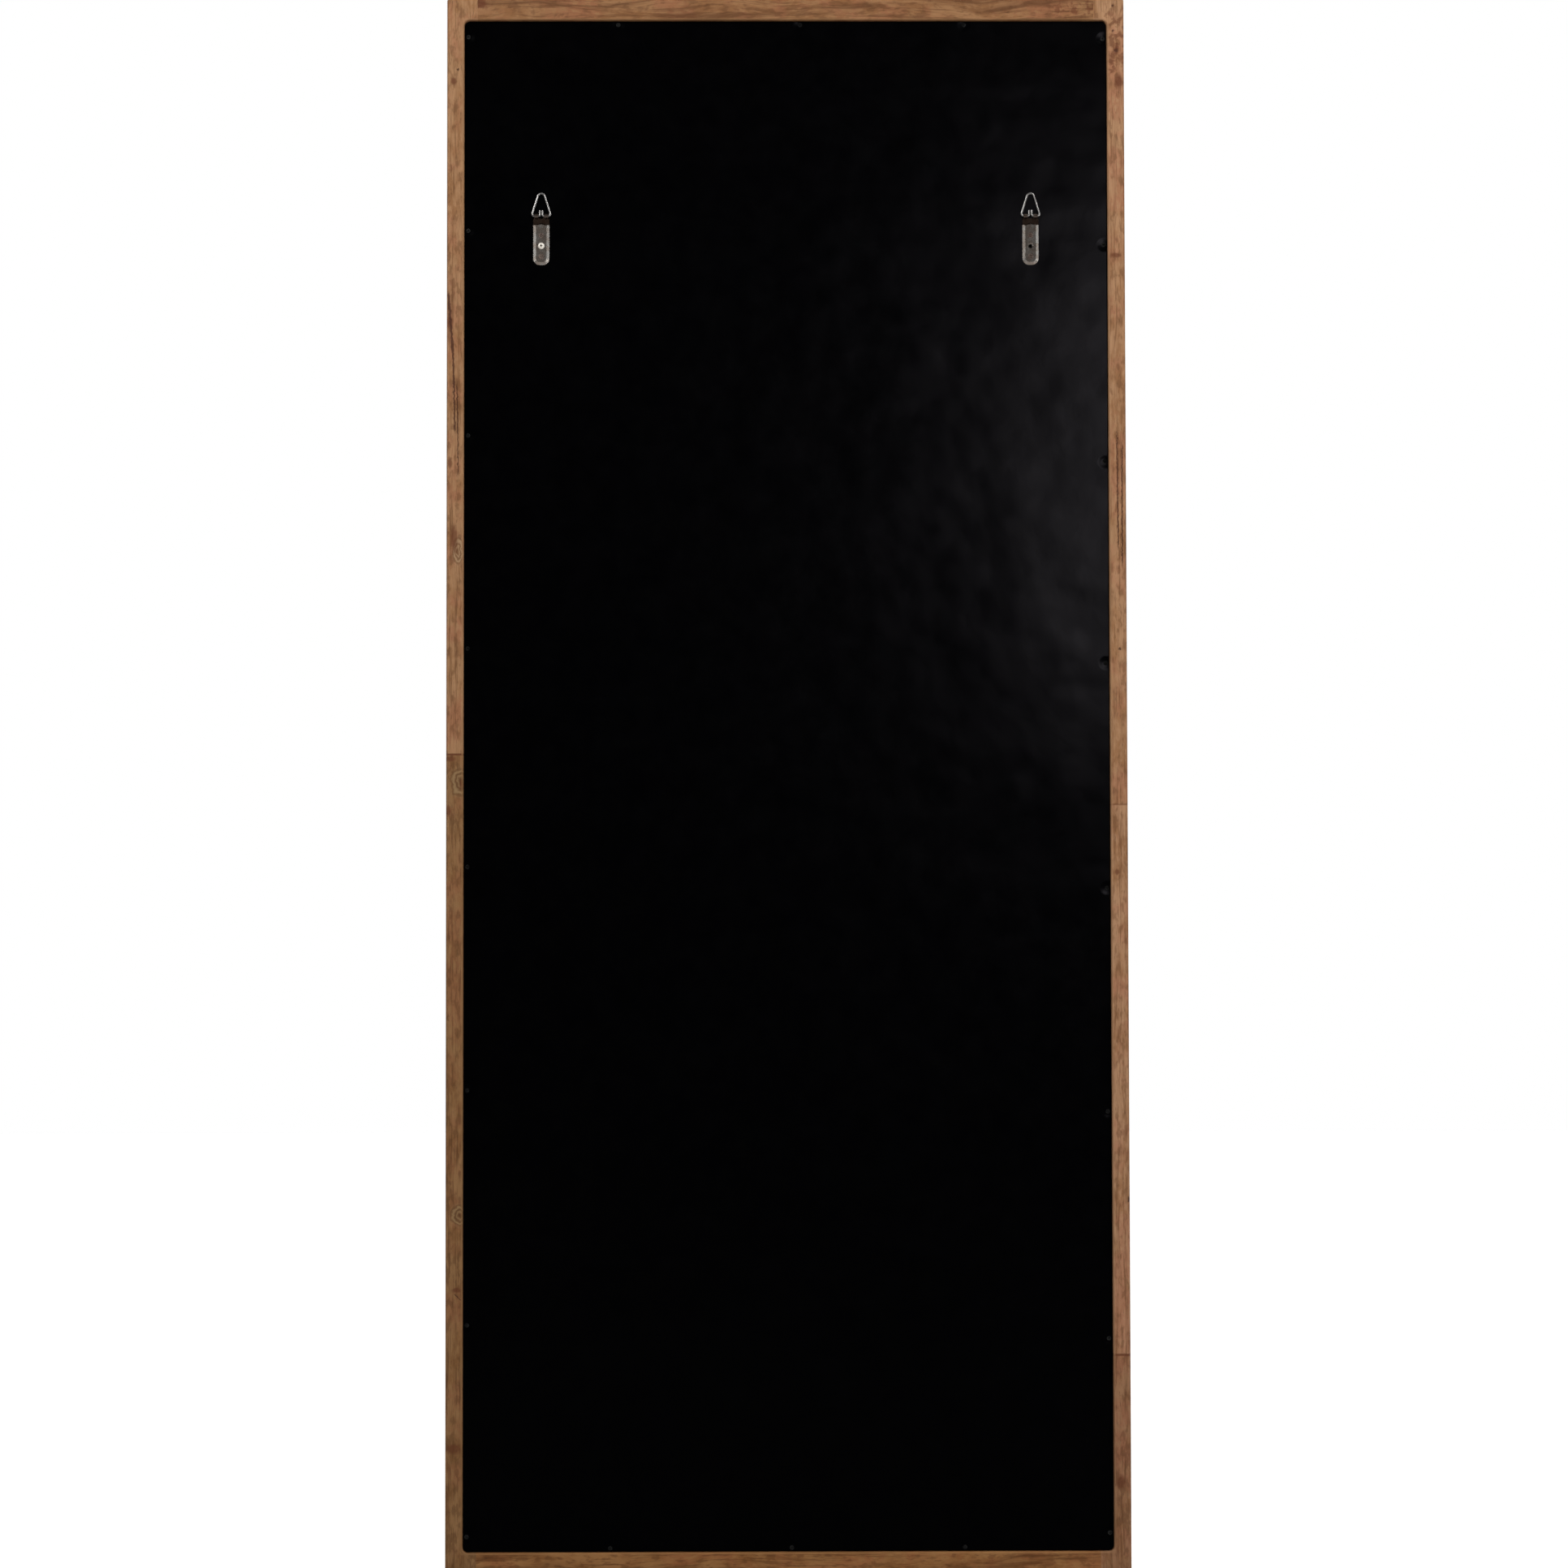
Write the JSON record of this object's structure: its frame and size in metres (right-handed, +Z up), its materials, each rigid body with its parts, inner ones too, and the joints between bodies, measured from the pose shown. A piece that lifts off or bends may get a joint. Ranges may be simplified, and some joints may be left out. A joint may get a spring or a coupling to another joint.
{
  "type": "floor mirror",
  "caption": "Tall floor mirror: slim solid wood frame, inset black backing board and two swinging strap hangers with wire rings on the back.",
  "frame": {"origin": "centre of the frame's footprint on the floor: the middle of its width and depth, at its lowest face", "axes": "+Z up along the height, +X towards the right of a person looking into the glass, -Y out of the glass, +Y out of the back with the hangers"},
  "size_m": [0.8, 0.038, 1.85],
  "materials": {
    "frame_wood": "open-grained reclaimed wood, waxed",
    "hidden_wood": "plain sawn softwood",
    "mirror": "silvered float glass",
    "felt": "thin felt strip",
    "rubber": "plain rubber",
    "black_board": "satin black face",
    "black_screw": "blackened steel",
    "nickel": "nickel-plated steel",
    "screw_steel": "plated steel"
  },
  "bodies": {
    "frame": {"left_stile_lower": "frame_wood", "left_stile_middle": "frame_wood", "left_stile_upper": "frame_wood", "right_stile_lower": "frame_wood", "right_stile_upper": "frame_wood", "top_rail": "frame_wood", "bottom_rail": "frame_wood", "corner_tenons": "hidden_wood", "stile_tenons": "hidden_wood", "mirror_glass": "mirror", "glass_cushions": "felt", "setting_pads": "rubber", "bottom_batten": "hidden_wood", "lower_batten": "hidden_wood", "upper_batten": "hidden_wood", "hanging_batten": "hidden_wood", "top_batten": "hidden_wood", "batten_felts": "felt", "backing_board": "black_board", "board_screws": "black_screw", "left_hanger_strap": "nickel", "right_hanger_strap": "nickel", "left_hanger_screws": "screw_steel", "right_hanger_screws": "screw_steel"},
    "left_ring": {"left_hanger_ring": "nickel"},
    "right_ring": {"right_hanger_ring": "nickel"}
  },
  "joints": [
    {"name": "left_ring_swing", "type": "hinge", "parent": "frame", "child": "left_ring", "pos_m": [-0.289, 0.01563, 1.5925], "axis": [-1, 0, 0], "range_deg": [0, 175]},
    {"name": "right_ring_swing", "type": "hinge", "parent": "frame", "child": "right_ring", "pos_m": [0.289, 0.01563, 1.5925], "axis": [-1, 0, 0], "range_deg": [0, 175]}
  ]
}
